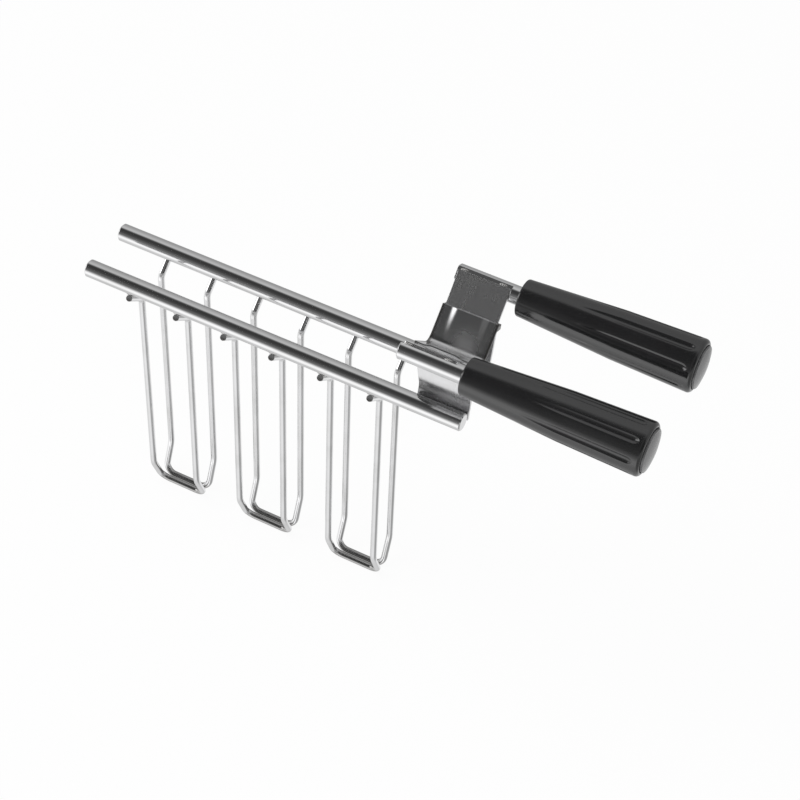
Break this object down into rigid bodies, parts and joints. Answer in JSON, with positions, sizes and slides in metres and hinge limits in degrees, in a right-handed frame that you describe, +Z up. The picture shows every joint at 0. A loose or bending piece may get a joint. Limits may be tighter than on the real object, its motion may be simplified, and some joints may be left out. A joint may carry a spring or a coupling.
{
  "type": "sandwich iron",
  "caption": "Sprung sandwich tongs for a slot toaster: a wire cage in two halves hung from round bars, squeezed open by two black grips.",
  "frame": {"origin": "in the plane of the two bars' undersides, midway along the bars and midway between the halves", "axes": "+X along the bars towards the grips, +Y across from the near half to the far half, +Z up from the cage towards the grips"},
  "size_m": [0.2685, 0.0734, 0.1911],
  "materials": {
    "bar_steel": "bright drawn steel bar",
    "wire_steel": "bright steel wire",
    "sheet_steel": "rolled steel sheet, lightly brushed",
    "spring_steel": "bright spring strip",
    "grip_plastic": "glossy black moulding",
    "cap_plastic": "satin grey moulding",
    "fixing_steel": "plated steel"
  },
  "bodies": {
    "near_jaw": {"near_bar": "bar_steel", "near_plate": "sheet_steel", "near_handle_rod": "bar_steel", "near_grip": "grip_plastic", "near_grip_washer": "fixing_steel", "near_grip_nut": "fixing_steel", "near_end_cap": "cap_plastic", "near_wire_loop_1": "wire_steel", "near_wire_loop_2": "wire_steel", "near_wire_loop_3": "wire_steel", "leaf_spring": "spring_steel"},
    "far_jaw": {"far_bar": "bar_steel", "far_plate": "sheet_steel", "far_handle_rod": "bar_steel", "far_grip": "grip_plastic", "far_grip_washer": "fixing_steel", "far_grip_nut": "fixing_steel", "far_end_cap": "cap_plastic", "far_wire_loop_1": "wire_steel", "far_wire_loop_2": "wire_steel", "far_wire_loop_3": "wire_steel"}
  },
  "joints": [
    {"name": "squeeze", "type": "hinge", "parent": "near_jaw", "child": "far_jaw", "pos_m": [0.0798, 0, 0.03072], "axis": [1, 0, 0], "range_deg": [0, 15], "stiffness_Nm_per_rad": 0.8, "springref_deg": -20.05, "deforming": ["leaf_spring"]}
  ]
}
